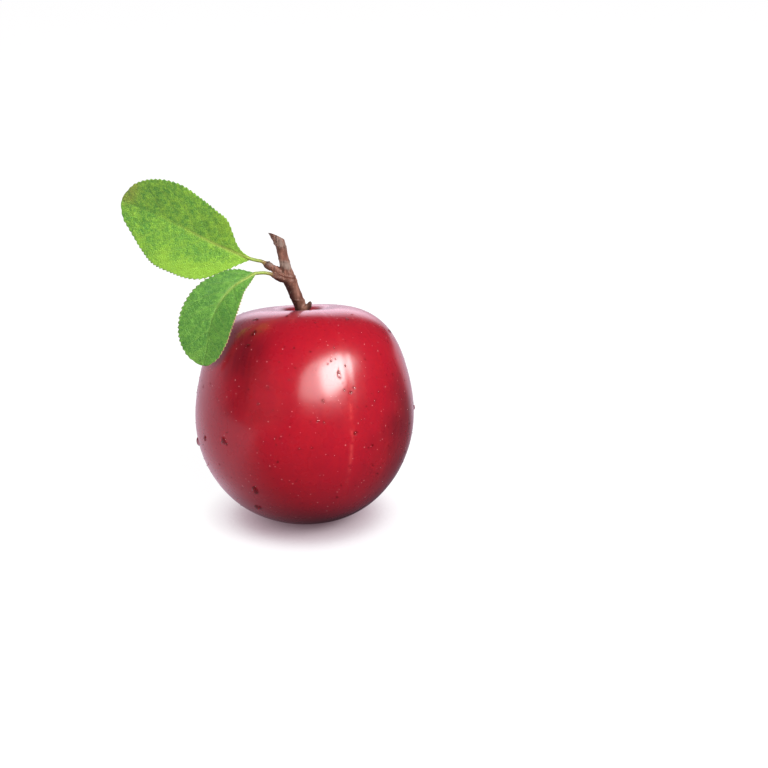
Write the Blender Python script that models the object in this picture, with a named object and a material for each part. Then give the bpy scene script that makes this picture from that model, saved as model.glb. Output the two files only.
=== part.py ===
"""A ripe red plum on a cut piece of twig with two leaves, resting on a small flat spot.

Run with: blender --background --python part.py

The fruit leans back a little on its flat spot, and the twig stands in the cavity at its top.
Lengths below are in millimetres, and every place is measured from the fruit's centre, with
+X to the right, +Y to the back and +Z up. The finished part has its origin at the centre of
the flat spot that the fruit rests on.
"""

import math

import bmesh
import bpy
import numpy as np
from mathutils import Matrix, Vector

MM = 0.001

# --- The fruit -------------------------------------------------------------------------------
FRUIT_DIAMETER = 53.0  # of the ball it starts from; the cheeks swell past this to 54
FRUIT_RADIUS = FRUIT_DIAMETER / 2
LEAN_BACK = math.radians(14.0)  # how far the stem axis leans away from the front
LEAN_LEFT = math.radians(1.5)
FLAT_SPOT_RADIUS = 5.5

# Swellings round the fruit: (share of the radius, latitude and half-width in degrees).
SHOULDER = (0.130, 52.0, 25.0)
HEEL = (0.012, -58.0, 22.0)

CAVITY_DEPTH = 4.4
CAVITY_RADIUS = 4.6
SUTURE_AZIMUTH = math.radians(28.0)  # from straight ahead, towards the right
SUTURE_DEPTH = 0.55
SUTURE_HALF_WIDTH = math.radians(5.0)
CHEEK_SWELL = 0.007  # the halves on each side of the suture, as a share of the radius

FRUIT_SEGMENTS = 48
FRUIT_RINGS = 30
RING_CROWDING = 0.85  # under 1 crowds the rings towards the stem cavity
FIRST_LATITUDE, LAST_LATITUDE = -89.0, 89.4  # degrees, of the two end rings

# --- The twig --------------------------------------------------------------------------------
# Each row is a point on the centre line and the radius there.
TWIG_LINE = [
    (-0.3, 5.75, 22.80, 0.80),
    (-0.3, 5.85, 23.70, 1.70),
    (-0.6, 5.80, 25.50, 1.62),
    (-1.7, 5.50, 28.60, 1.55),
    (-3.0, 5.2, 32.0, 1.60),
    (-4.0, 5.1, 35.2, 1.55),
    (-4.6, 5.0, 38.7, 1.25),
    (-5.2, 5.0, 41.3, 1.25),
    (-6.2, 5.0, 44.4, 1.45),
    (-7.9, 5.0, 48.6, 1.75),
]
TWIG_CUT_POINT = (-6.5, 3.6, 45.3)  # on the slanting cut through the top
TWIG_CUT_NORMAL = (0.34, 0.45, 0.83)
SPUR_LINE = [
    (-3.4, 5.1, 34.0, 1.75),
    (-5.4, 5.0, 35.5, 1.55),
    (-7.2, 4.8, 36.6, 1.02),
    (-8.5, 4.6, 37.4, 1.12),
    (-9.3, 4.5, 37.9, 0.80),
]
LEAF_CUSHION_LINE = [
    (-4.2, 5.0, 34.4, 1.45),
    (-6.0, 4.7, 34.7, 1.25),
    (-7.3, 4.5, 35.0, 0.85),
]
BUD_LINE = [
    (-0.6, 5.2, 26.3, 0.85),
    (0.7, 4.9, 26.6, 0.80),
    (1.4, 4.7, 27.4, 0.55),
    (1.6, 4.6, 28.1, 0.20),
]
TWIG_SIDES, TWIG_RINGS = 14, 18
BRANCH_SIDES, BRANCH_RINGS = 10, 8

# --- The leaves ------------------------------------------------------------------------------
# stalk and blade are points on the centre line, from the twig to the tip. face is the way that
# the upper side looks at the base and at the tip, and keel is the fold along the midrib. The
# halves on each side of the midrib have their widths at some shares of the blade's length.
UPPER_LEAF = {
    "stalk": [(-9.5, 4.4, 38.3), (-11.0, 4.2, 38.6), (-12.7, 4.0, 39.2)],
    "blade": [(-21.6, 4.6, 43.0), (-33.0, 6.2, 48.6), (-43.6, 8.4, 52.6)],
    "halves": (
        [(0.0, 0.3), (0.1, 1.2), (0.2, 4.1), (0.3, 7.6), (0.5, 9.5), (0.67, 10.7), (0.85, 8.5),
         (0.94, 5.8), (1.0, 3.2)],
        [(0.0, 0.3), (0.1, 3.2), (0.2, 6.3), (0.3, 9.2), (0.4, 11.0), (0.6, 11.7), (0.75, 9.7),
         (0.9, 5.6), (1.0, 2.6)],
    ),
    "face_base": (0.05, -0.95, -0.10),
    "face_tip": (0.10, -0.95, -0.20),
    "keel": math.radians(14.0),
}
LOWER_LEAF = {
    "stalk": [(-7.8, 4.3, 35.0), (-9.6, 3.7, 35.7), (-11.7, 2.8, 35.9)],
    "blade": [(-17.4, -1.6, 33.2), (-21.4, -6.2, 27.6), (-23.4, -11.2, 17.4)],
    "halves": (
        [(0.0, 0.4), (0.1, 2.9), (0.2, 4.3), (0.4, 6.2), (0.6, 7.8), (0.75, 8.0), (0.88, 6.5),
         (1.0, 2.9)],
        [(0.0, 0.4), (0.1, 1.7), (0.2, 2.8), (0.4, 4.8), (0.6, 6.1), (0.75, 6.3), (0.88, 5.2),
         (1.0, 2.4)],
    ),
    "face_base": (-0.20, -0.75, 0.62),
    "face_tip": (-0.42, -0.85, 0.10),
    "keel": math.radians(12.0),
}
ROUND_END = 0.94  # the blade's end is rounded from this share of its length
BLADE_END = 0.998  # the last ring's share of the length, so that it isn't a point
OPENING = 0.12  # the share of the blade's length over which the round stalk opens into it
BLADE_CORNER = 0.3  # how square the blade's cross-section is, from 0, a box, to 1, a lens
FOLD_RADIUS = 1.0  # of the fold along the midrib
BLADE_THICKNESS = 0.34
STALK_RADIUS = 0.42
MIDRIB_DEPTH = 0.38  # how far the rib stands out under the blade
MIDRIB_HALF_WIDTH = 0.55
LEAF_RINGS = 30
LEAF_SIDES = 20

SHARPEST_SMOOTH_EDGE = math.radians(50.0)

# Each finish is its colour and its roughness.
FINISHES = {
    "plum_skin": ((0.42, 0.012, 0.022), 0.25),
    "bark": ((0.17, 0.085, 0.055), 0.75),
    "leaf_green": ((0.10, 0.30, 0.035), 0.50),
}


def clear_scene():
    for obj in list(bpy.data.objects):
        bpy.data.objects.remove(obj, do_unlink=True)


def material(name):
    """The named finish, made once."""
    found = bpy.data.materials.get(name)
    if found:
        return found
    colour, roughness = FINISHES[name]
    made = bpy.data.materials.new(name)
    made.use_nodes = True
    shader = made.node_tree.nodes["Principled BSDF"]
    shader.inputs["Base Color"].default_value = (*colour, 1.0)
    shader.inputs["Roughness"].default_value = roughness
    shader.inputs["Metallic"].default_value = 0.0
    return made


def smooth_line(points, count):
    """Points along a cubic curve through the given ones, evenly shared between their gaps."""
    points = np.asarray(points, float)
    slopes = np.gradient(points, axis=0)
    last = len(points) - 1
    place = np.linspace(0.0, last, count)
    start = np.minimum(place.astype(int), last - 1)
    t = (place - start)[:, None]
    a, b = points[start], points[start + 1]
    slope_a, slope_b = slopes[start], slopes[start + 1]
    return (
        a * (1 + 2 * t) * (1 - t) ** 2
        + slope_a * t * (1 - t) ** 2
        + b * t**2 * (3 - 2 * t)
        + slope_b * t**2 * (t - 1)
    )


def unit(vectors):
    return vectors / np.linalg.norm(vectors, axis=-1, keepdims=True)


def skin(rings):
    """A closed body whose surface runs through the rings, which are loops of points in mm."""
    bm = bmesh.new()
    loops = [[bm.verts.new(Vector(point) * MM) for point in ring] for ring in rings]
    for lower, upper in zip(loops, loops[1:]):
        for i in range(len(lower)):
            j = (i + 1) % len(lower)
            bm.faces.new((lower[i], lower[j], upper[j], upper[i]))
    bm.faces.new(reversed(loops[0]))
    bm.faces.new(loops[-1])
    bmesh.ops.recalc_face_normals(bm, faces=bm.faces)
    return bm


def add_object(name, bm, finish, parent):
    mesh = bpy.data.meshes.new(name)
    bm.to_mesh(mesh)
    bm.free()
    mesh.materials.append(material(finish))
    mesh.shade_smooth()
    mesh.set_sharp_from_angle(angle=SHARPEST_SMOOTH_EDGE)
    obj = bpy.data.objects.new(name, mesh)
    bpy.context.scene.collection.objects.link(obj)
    obj.parent = parent
    return obj


def fruit_surface(latitude, azimuth):
    """Points on the fruit, with its stem axis upright and azimuth 0 at the front.

    The radius is that of a ball, swollen at the shoulder and the heel and on both sides of
    the suture. The suture and the stem cavity then sink into it.
    """
    radius = np.full(np.broadcast(latitude, azimuth).shape, FRUIT_RADIUS)
    for share, middle, width in (SHOULDER, HEEL):
        off = (np.degrees(latitude) - middle) / width
        radius = radius * (1 + share * np.exp(-(off**2)))
    from_suture = (azimuth - SUTURE_AZIMUTH + math.pi) % (2 * math.pi) - math.pi
    flank = np.cos(latitude) ** 2
    radius = radius * (1 + CHEEK_SWELL * flank * (1 - np.cos(2 * from_suture)))
    fade = np.clip((latitude + math.pi / 2) / math.pi, 0, 1) * np.cos(latitude)
    groove = np.exp(-((from_suture / SUTURE_HALF_WIDTH) ** 2))
    radius = radius - SUTURE_DEPTH * fade * groove
    out = radius * np.cos(latitude)
    sunk = CAVITY_DEPTH * np.exp(-((out / CAVITY_RADIUS) ** 2)) * (latitude > 0)
    return np.stack(
        (out * np.sin(azimuth), -out * np.cos(azimuth), radius * np.sin(latitude) - sunk),
        axis=-1,
    )


def leaning(points):
    """Points turned as the whole fruit leans, back and then to the left."""
    turn = Matrix.Rotation(-LEAN_LEFT, 3, "Y") @ Matrix.Rotation(-LEAN_BACK, 3, "X")
    return points @ np.array(turn).T


def resting_place():
    """Where the fruit's centre is when its flat spot lies on the ground round the origin.

    The flat spot is a slice off the lowest point, as deep as its radius asks for on a ball.
    """
    latitude = np.radians(np.linspace(-90.0, -40.0, 201))[:, None]
    azimuth = np.radians(np.arange(0.0, 360.0, 1.5))[None, :]
    underside = leaning(fruit_surface(latitude, azimuth)).reshape(-1, 3)
    lowest = underside[underside[:, 2].argmin()]
    slice_depth = FRUIT_RADIUS - math.sqrt(FRUIT_RADIUS**2 - FLAT_SPOT_RADIUS**2)
    return Vector((-lowest[0], -lowest[1], -lowest[2] - slice_depth))


def build_fruit(parent, centre):
    """The fruit, one solid, with rings crowded towards the cavity and sliced flat below."""
    share = np.linspace(0.0, 1.0, FRUIT_RINGS)
    span = LAST_LATITUDE - FIRST_LATITUDE
    latitude = np.radians(FIRST_LATITUDE + span * share**RING_CROWDING)[:, None]
    azimuth = np.linspace(0.0, 2 * math.pi, FRUIT_SEGMENTS, endpoint=False)[None, :]
    bm = skin(leaning(fruit_surface(latitude, azimuth)))
    ground = Vector((0, 0, -centre.z * MM))
    cut = bmesh.ops.bisect_plane(
        bm,
        geom=bm.verts[:] + bm.edges[:] + bm.faces[:],
        plane_co=ground,
        plane_no=(0, 0, -1),
        clear_outer=True,
    )
    rim = [item for item in cut["geom_cut"] if isinstance(item, bmesh.types.BMEdge)]
    bmesh.ops.contextual_create(bm, geom=rim)
    bmesh.ops.recalc_face_normals(bm, faces=bm.faces)
    return add_object("fruit", bm, "plum_skin", parent)


def tube_rings(line, sides, count):
    """Round rings along a line of (x, y, z, radius) points, square to it."""
    path = smooth_line(line, count)
    centre, radius = path[:, :3], path[:, 3:]
    along = unit(np.gradient(centre, axis=0))
    side = unit(np.cross(along, (0.0, 1.0, 0.15)))
    other = np.cross(along, side)
    turn = np.linspace(0.0, 2 * math.pi, sides, endpoint=False)
    return (
        centre[:, None]
        + radius[:, None] * np.cos(turn)[:, None] * side[:, None]
        + radius[:, None] * np.sin(turn)[:, None] * other[:, None]
    )


def build_twig(parent):
    """The woody twig with its slanting cut, spur, leaf cushion and bud, as one piece of wood."""
    stem = skin(tube_rings(TWIG_LINE, TWIG_SIDES, TWIG_RINGS))
    cut = bmesh.ops.bisect_plane(
        stem,
        geom=stem.verts[:] + stem.edges[:] + stem.faces[:],
        plane_co=Vector(TWIG_CUT_POINT) * MM,
        plane_no=TWIG_CUT_NORMAL,
        clear_outer=True,
    )
    rim = [item for item in cut["geom_cut"] if isinstance(item, bmesh.types.BMEdge)]
    bmesh.ops.contextual_create(stem, geom=rim)
    bmesh.ops.recalc_face_normals(stem, faces=stem.faces)
    twig = add_object("twig", stem, "bark", parent)
    branches = {"spur": SPUR_LINE, "leaf_cushion": LEAF_CUSHION_LINE, "bud": BUD_LINE}
    for name, line in branches.items():
        branch = skin(tube_rings(line, BRANCH_SIDES, BRANCH_RINGS))
        helper = add_object(name + "_joined_to_twig", branch, "bark", parent)
        helper.hide_render = True
        helper.display_type = "WIRE"
        union = twig.modifiers.new(name, "BOOLEAN")
        union.operation = "UNION"
        union.solver = "EXACT"
        union.object = helper
    return twig


def blade_half_width(share, widths):
    """Half the blade's width at a share of its length: straight lines between the given
    widths, and a round end."""
    places, sizes = np.array(widths).T
    end = np.clip((share - ROUND_END) / (1 - ROUND_END), 0, 1)
    return np.interp(share, places, sizes) * np.sqrt(1 - end**2)


def leaf_rings(leaf):
    """Rings across a leaf, from the foot of its round stalk to its tip.

    A ring is a circle on the stalk. On the blade it is a thin lens with a rib below, folded
    up by the keel angle on both sides of the midrib.
    """
    line = smooth_line(leaf["stalk"] + leaf["blade"], LEAF_RINGS)
    stalk_share = (len(leaf["stalk"]) - 1) / (len(leaf["stalk"] + leaf["blade"]) - 1)
    place = np.linspace(0.0, 1.0, LEAF_RINGS)
    share = np.clip((place - stalk_share) / (1 - stalk_share), 0.0, BLADE_END)
    grown = np.clip(share / OPENING, 0, 1)[:, None]  # 0 on the stalk, 1 on the open blade

    along = unit(np.gradient(line, axis=0))
    base, tip = np.array(leaf["face_base"]), np.array(leaf["face_tip"])
    face = base + (tip - base) * place[:, None]
    face = unit(face - (face * along).sum(1, keepdims=True) * along)
    across = np.cross(along, face)

    turn = np.linspace(0.0, 2 * math.pi, LEAF_SIDES, endpoint=False)[None, :]
    one, other = (blade_half_width(share, half)[:, None] for half in leaf["halves"])
    half_width = np.maximum(np.where(np.cos(turn) > 0, one, other), STALK_RADIUS)
    out = half_width * np.cos(turn)
    round_part = STALK_RADIUS * np.sin(turn)
    corner = np.abs(np.sin(turn)) ** BLADE_CORNER
    flat_part = BLADE_THICKNESS / 2 * np.sign(np.sin(turn)) * corner
    rib = MIDRIB_DEPTH * np.exp(-((out / MIDRIB_HALF_WIDTH) ** 2)) * (np.sin(turn) < 0)
    lift = round_part * (1 - grown) + (flat_part - rib * (1 - share[:, None])) * grown
    fold = np.sqrt(out**2 + FOLD_RADIUS**2) - FOLD_RADIUS
    lift = lift + fold * math.sin(leaf["keel"]) * grown
    out = out * (1 - (1 - math.cos(leaf["keel"])) * grown)
    return line[:, None] + out[..., None] * across[:, None] + lift[..., None] * face[:, None]


def build_leaf(name, leaf, parent):
    return add_object(name, skin(leaf_rings(leaf)), "leaf_green", parent)


def build_plum():
    clear_scene()
    centre = resting_place()
    plum = bpy.data.objects.new("plum", None)
    plum.location = centre * MM
    bpy.context.scene.collection.objects.link(plum)
    build_fruit(plum, centre)
    build_twig(plum)
    build_leaf("upper_leaf", UPPER_LEAF, plum)
    build_leaf("lower_leaf", LOWER_LEAF, plum)


build_plum()
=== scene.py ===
"""A ripe red plum on its twig, finished: skin, bark, leaves and drops of water.

Lengths are in millimetres from the middle of the fruit, with +X to the right, +Y to the back
and +Z up. A mesh is moved to metres round the spot that the fruit rests on when it is made.
The floor, lights and camera are in metres from the start.
"""

import math

import bmesh
import bpy
import numpy as np
from mathutils import Matrix, Vector


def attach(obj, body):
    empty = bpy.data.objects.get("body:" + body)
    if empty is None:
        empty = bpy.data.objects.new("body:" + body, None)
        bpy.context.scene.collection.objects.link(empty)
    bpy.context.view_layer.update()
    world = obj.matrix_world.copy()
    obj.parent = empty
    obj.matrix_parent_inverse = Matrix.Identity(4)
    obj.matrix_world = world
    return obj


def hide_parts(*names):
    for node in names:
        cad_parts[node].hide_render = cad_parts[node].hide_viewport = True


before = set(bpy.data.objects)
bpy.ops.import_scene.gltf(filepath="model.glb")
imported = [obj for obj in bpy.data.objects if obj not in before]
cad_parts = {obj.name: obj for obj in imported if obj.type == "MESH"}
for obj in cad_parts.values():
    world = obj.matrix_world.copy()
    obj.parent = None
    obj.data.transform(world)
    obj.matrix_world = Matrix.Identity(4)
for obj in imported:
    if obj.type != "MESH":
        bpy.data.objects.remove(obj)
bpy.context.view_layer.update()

MM = 0.001

# --- Measures of the fruit -------------------------------------------------------------------
FRUIT_CENTRE = np.array([0.06, -0.78, 26.10])  # above the spot that it rests on
FRUIT_RADIUS = 26.5
LEAN_BACK = math.radians(14.0)
LEAN_LEFT = math.radians(1.5)
# Swellings round the fruit: (share of the radius, latitude and half-width in degrees).
SHOULDER = (0.130, 52.0, 25.0)
HEEL = (0.012, -58.0, 22.0)
CAVITY_DEPTH = 4.4  # of the hollow that the twig stands in
CAVITY_RADIUS = 4.6
BLOSSOM_DENT = 0.22
PRESSED_EDGE = 0.1  # how softly the skin turns onto the ground
SUTURE_AZIMUTH = math.radians(28.0)
SUTURE_DEPTH = 0.14
CHEEK_STEP = 0.36  # how far the right cheek starts below the left one, at the suture
CHEEK_SWELL = 0.007  # of the radius
# Where the skin is darkest: (latitude, azimuth, height and width in degrees, how much).
RIPE_AND_SHADED_PATCHES = [
    (36.0, -36.0, 20.0, 20.0, 0.85),
    # This patch is painted shade, darkening the lower right side.
    (-14.0, 76.0, 40.0, 26.0, 0.85),
    (20.0, 168.0, 30.0, 46.0, 0.55),
    (-30.0, -118.0, 34.0, 34.0, 0.35),
]
FRUIT_RINGS = 200
FRUIT_SEGMENTS = 372

# --- Measures of the twig: (x, y, z, radius) along each limb ---------------------------------
STEM = [
    (-0.4, 5.65, 22.25, 1.05),
    (-0.3, 5.80, 23.20, 1.72),
    (-0.5, 5.85, 24.40, 1.78),
    (-0.9, 5.75, 26.20, 1.52),
    (-1.8, 5.50, 28.90, 1.50),
    (-2.9, 5.25, 31.90, 1.56),
    (-3.7, 5.15, 34.20, 1.62),
    (-4.3, 5.05, 36.60, 1.36),
    (-4.8, 5.00, 39.20, 1.22),
    (-5.3, 5.00, 41.60, 1.24),
    (-6.2, 5.00, 44.40, 1.42),
    (-7.9, 5.00, 48.60, 1.72),
]
SPUR = [
    (-3.4, 5.1, 34.0, 1.40),
    (-5.4, 5.0, 35.5, 1.18),
    (-6.5, 4.9, 36.2, 0.86),
    (-7.3, 4.8, 36.6, 0.72),
    (-8.1, 4.65, 37.1, 0.95),
    (-8.9, 4.5, 37.6, 0.98),
    (-9.4, 4.45, 37.95, 0.60),
]
CUSHION = [
    (-4.0, 5.0, 34.0, 1.30),
    (-5.6, 4.75, 34.3, 1.15),
    (-6.8, 4.55, 34.80, 0.88),
    (-7.6, 4.4, 35.05, 0.72),
]
BUD = [
    (-0.9, 5.3, 26.0, 0.95),
    (0.3, 5.0, 26.3, 0.92),
    (1.05, 4.8, 26.9, 0.74),
    (1.45, 4.7, 27.6, 0.45),
    (1.65, 4.62, 28.2, 0.10),
]
CUT_POINT = (-6.5, 3.6, 45.3)
CUT_NORMAL = (0.34, 0.45, 0.83)
TWIG_GRAIN = 0.13  # of the skin that the limbs are grown together in
# Rings that old leaves left: (height, width, size) on the stem, and x on the spur.
STEM_SCARS = [
    (33.9, 0.22, 0.16), (32.9, 0.30, 0.10), (37.4, 0.25, 0.11),
    (28.2, 0.26, 0.12), (24.8, 0.45, 0.12), (41.0, 0.20, 0.06),
]
SPUR_SCARS = [-6.3, -7.0, -7.6, -8.25]
SCAR_SLANT = 0.25  # how far such a ring climbs for each millimetre to the left

# --- Measures of the leaves ------------------------------------------------------------------
# stalk and blade: points along them. halves: the half-width on each side of the midrib at
# some shares of the blade's length. face_base and face_tip: where the upper side faces at the
# base and the tip. keel: how far each half is folded up. vein_gap: between two side veins.
# glow: where the blade is yellower in a painted glow of light through it, as (share of the
# length, side from -1 to 1, how long and wide, how much). pale_rim: the side whose rim is
# pale, and how far in it starts.
# deep, bright, vein and rim: the colours of its finish.
UPPER_LEAF = {
    "stalk": [(-9.1, 4.45, 37.8), (-10.0, 4.35, 38.45), (-11.2, 4.2, 38.75), (-12.7, 4.0, 39.2)],
    "blade": [(-12.7, 4.0, 39.2), (-21.6, 4.6, 43.0), (-33.0, 6.2, 48.6), (-43.6, 8.4, 52.6)],
    "halves": (
        [(0.0, 0.3), (0.1, 1.2), (0.15, 2.3), (0.22, 4.8), (0.3, 7.6), (0.4, 8.6), (0.52, 9.6),
         (0.66, 10.7), (0.8, 9.4), (0.9, 7.1), (1.0, 3.4)],
        [(0.0, 0.3), (0.1, 3.2), (0.2, 6.3), (0.3, 9.2), (0.38, 10.7), (0.5, 11.5), (0.62, 11.6),
         (0.75, 9.7), (0.9, 5.7), (1.0, 2.8)],
    ),
    "face_base": (0.05, -0.95, -0.10),
    "face_tip": (0.10, -0.95, -0.20),
    "keel": math.radians(10.0),
    "vein_gap": 4.1,
    "seed": 11,
    "glow": [(0.36, -0.95, 0.32, 0.34, 0.85), (0.05, 0.0, 0.14, 2.0, 0.55),
             (0.30, 0.95, 0.10, 0.35, 0.55), (0.75, 0.0, 0.10, 2.0, -0.10)],
    "pale_rim": -0.5,
    "browned": 0.85,
    "deep": (0.078, 0.255, 0.038),
    "bright": (0.265, 0.51, 0.048),
    "vein": (0.38, 0.47, 0.09),
    "rim": (0.24, 0.40, 0.07),
}
LOWER_LEAF = {
    "stalk": [(-7.3, 4.45, 35.0), (-8.3, 4.1, 35.45), (-9.7, 3.6, 35.8), (-11.7, 2.8, 35.9)],
    "blade": [(-11.7, 2.8, 35.9), (-17.4, -1.6, 33.2), (-21.4, -6.2, 27.6), (-23.4, -11.2, 17.4)],
    "halves": (
        [(0.0, 0.4), (0.1, 2.9), (0.2, 4.25), (0.3, 5.15), (0.45, 6.75), (0.6, 7.8), (0.72, 8.05),
         (0.85, 7.0), (1.0, 3.0)],
        [(0.0, 0.4), (0.1, 1.65), (0.25, 3.2), (0.4, 4.75), (0.55, 5.85), (0.7, 6.3),
         (0.85, 5.6), (1.0, 2.6)],
    ),
    "face_base": (-0.20, -0.75, 0.62),
    "face_tip": (-0.42, -0.85, 0.10),
    "keel": math.radians(9.0),
    "vein_gap": 3.5,
    "seed": 23,
    "glow": [(0.06, 0.0, 0.12, 2.0, 0.30), (0.55, 0.0, 0.30, 0.30, 0.18),
             (1.0, 0.0, 0.10, 2.0, 0.25)],
    "pale_rim": -1.0,
    "browned": 0.10,
    "deep": (0.046, 0.165, 0.026),
    "bright": (0.135, 0.33, 0.046),
    "vein": (0.30, 0.42, 0.09),
    "rim": (0.55, 0.36, 0.16),
}
LEAF_ROWS = 300
LEAF_COLUMNS = 84  # across one side of the blade
ROUND_END = 0.93  # the blade's end is rounded from this share of its length
TOOTH_PITCH = 0.95
TOOTH_DEPTH = 0.42
BLADE_THICKNESS = 0.26
STALK_RADIUS = 0.42
STALK_POINTS = 40
MIDRIB_POINTS = 120
MIDRIB_SHORT = 6  # how many points before the tip the midrib ends

# --- Drops of water: (latitude and azimuth in degrees, radius, stretch down the skin) --------
DROPS = [
    (57.5, -40.4, 0.62, 0.8), (62.2, -12.1, 0.30, 1.2), (55.9, 42.6, 0.42, 0.9),
    (48.7, -32.4, 0.55, 1.5), (41.6, -33.0, 0.42, 1.1), (33.9, 18.8, 0.30, 0.8),
    (32.6, 16.6, 0.26, 0.8), (34.8, 21.6, 0.24, 1.0), (27.2, 22.4, 0.55, 1.7),
    (18.1, 27.9, 0.46, 1.0), (20.4, 30.4, 0.36, 1.1), (19.6, 24.4, 0.30, 1.2),
    (23.0, 24.2, 0.22, 1.0), (31.3, 27.0, 0.24, 1.3), (15.0, 12.4, 0.44, 1.0),
    (-2.4, 29.1, 0.58, 0.8), (5.1, 9.4, 0.30, 1.0), (4.5, 12.4, 0.26, 1.0),
    (-8.9, -0.6, 0.32, 0.9), (-8.5, 6.1, 0.30, 0.9), (-15.8, -12.1, 0.28, 1.0),
    (-5.8, -43.7, 0.85, 0.95), (-7.4, -41.6, 0.40, 1.0), (-6.4, -61.5, 0.62, 1.1),
    (-10.8, -80.7, 0.95, 1.1), (-33.6, -30.8, 0.80, 1.7), (-47.3, -38.0, 0.95, 0.8),
    (13.9, -21.3, 0.32, 1.0), (-10.0, 40.2, 0.36, 1.0), (10.6, 36.8, 0.28, 1.0),
    (16.9, 46.3, 0.24, 1.0), (-39.5, 22.8, 0.28, 1.0), (25.7, -5.0, 0.24, 1.0),
    (40.8, -2.5, 0.28, 0.9), (34.1, -11.0, 0.26, 1.0), (48.0, 150.0, 0.70, 1.2),
    (22.0, 118.0, 0.85, 1.3), (-6.0, 171.0, 0.75, 1.1), (12.0, -128.0, 0.90, 1.2),
    (-21.0, -152.0, 0.60, 1.5), (35.0, -168.0, 0.45, 1.0), (-30.0, 128.0, 0.85, 1.2),
    (3.0, 92.0, 0.60, 1.0), (44.0, 84.0, 0.50, 1.1), (-24.0, -104.0, 0.65, 1.3),
]
DROP_HEIGHT = 0.50  # of its radius
DROP_FOOT = 0.04  # how far a drop reaches under the skin
FINE_DROPS = 700
FINE_DROP_SEED = 61

# --- Measures of the floor, lights and camera, in metres -------------------------------------
FLOOR_REACH = 3.0
SHADE_REACH = 0.012  # how near the plum the floor is in its shade
# The floor's colour where that share of the sky over it is open.
FLOOR_SHADE = [
    (0.0, (0.05, 0.015, 0.025, 1.0)),
    (0.30, (0.40, 0.30, 0.34, 1.0)),
    (0.55, (0.80, 0.75, 0.78, 1.0)),
    (0.85, (1.0, 1.0, 1.0, 1.0)),
]
LAVENDER = (1.0, 0.80, 0.95, 1.0)  # of the light from behind
SKY_DIM = 0.04
# Bright parts of the sky: (direction, how near it they start and are full, strength).
SKY_GLOWS = [
    ((0.0, 0.99, 0.14), 0.91, 1.0, 1.8),
    ((-0.60, 0.75, 0.25), 0.78, 1.0, 0.26),
    ((-0.85, 0.45, -0.25), 0.70, 1.0, 0.54),
]
WARM_WHITE = (1.0, 0.985, 0.97)
# Oval lights: (direction, distance, width, height, watts, colour).
LIGHTS = {
    "key_softbox": ((0.50, -0.61, 0.61), 0.60, 0.80, 0.26, 2.9, WARM_WHITE),
    "key_heart": ((0.60, -0.54, 0.60), 0.62, 0.44, 0.22, 3.4, WARM_WHITE),
    "front_left_fill": ((-0.60, -0.70, 0.35), 1.0, 0.80, 0.80, 5.0, (1.0, 1.0, 1.0)),
}
UNMIRRORED_LIGHT = "front_left_fill"
VIEW_ELEVATION = math.radians(21.0)
VIEW_DISTANCE = 0.473
VIEW_ASIDE = (0.01946, 0.00788)  # right and up, from the fruit's middle to the camera's aim


# --- Making shapes ---------------------------------------------------------------------------
def unit(vectors):
    """The same directions, each one long."""
    return vectors / np.linalg.norm(vectors, axis=-1, keepdims=True)


def stacked(*parts):
    """Points out of their coordinates, each an array or a number."""
    return np.stack(np.broadcast_arrays(*parts), axis=-1)


def smooth_step(low, high, value):
    """0 below low and 1 above high, with an S-curve between."""
    t = np.clip((value - low) / (high - low), 0, 1)
    return t * t * (3 - 2 * t)


def hump(value, middle, width):
    """A bell curve of height 1 round the middle."""
    return np.exp(-(((value - middle) / width) ** 2))


def smooth_line(points, count):
    """Points along a cubic curve through the given ones, evenly shared between their gaps."""
    points = np.asarray(points, float)
    slopes = np.gradient(points, axis=0)
    last = len(points) - 1
    place = np.linspace(0.0, last, count)
    start = np.minimum(place.astype(int), last - 1)
    t = (place - start)[:, None]
    a, b = points[start], points[start + 1]
    slope_a, slope_b = slopes[start], slopes[start + 1]
    return (
        a * (1 + 2 * t) * (1 - t) ** 2
        + slope_a * t * (1 - t) ** 2
        + b * t**2 * (3 - 2 * t)
        + slope_b * t**2 * (t - 1)
    )


def curve_through(knots, where):
    """The height at each place of a smooth cubic curve through the (place, height) knots."""
    places, heights = np.array(knots).T
    slopes = np.gradient(heights, places)
    i = np.clip(np.searchsorted(places, where) - 1, 0, len(places) - 2)
    gap = places[i + 1] - places[i]
    t = (where - places[i]) / gap
    return (
        heights[i] * (1 + 2 * t) * (1 - t) ** 2
        + slopes[i] * gap * t * (1 - t) ** 2
        + heights[i + 1] * t**2 * (3 - 2 * t)
        + slopes[i + 1] * gap * t**2 * (t - 1)
    )


def soft_noise(points, size, seed):
    """Soft bumps about `size` apart, from -1 to 1: random heights on a cubic lattice, blended
    between its corners by S-curves."""
    rng = np.random.default_rng(seed)
    shuffle = rng.permutation(256)
    heights = rng.uniform(-1, 1, 256)
    place = np.asarray(points) / size + 512.5
    cell = np.floor(place).astype(int)
    t = smooth_step(0, 1, place - cell)
    total = 0
    for corner in np.ndindex(2, 2, 2):
        x, y, z = np.moveaxis(cell + corner, -1, 0)
        picked = heights[shuffle[(shuffle[(shuffle[x & 255] + y) & 255] + z) & 255]]
        total = total + picked * np.prod(np.where(corner, t, 1 - t), axis=-1)
    return total


def tube_faces(rows, columns):
    """Quads between neighbouring rings of a tube, then a fan from each end ring to a pole.
    The poles are numbered after the rings' points."""
    row = np.arange(rows - 1)[:, None] * columns
    column = np.arange(columns)[None, :]
    following = (column + 1) % columns
    quads = np.stack(
        (row + column, row + following, row + columns + following, row + columns + column), -1
    ).reshape(-1, 4)
    ring, after = column[0], following[0]
    last = (rows - 1) * columns
    first_pole = np.full(columns, rows * columns)
    fans = np.concatenate(
        (
            np.stack((after, ring, first_pole), -1),
            np.stack((last + ring, last + after, first_pole + 1), -1),
        )
    )
    return quads, fans


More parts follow.
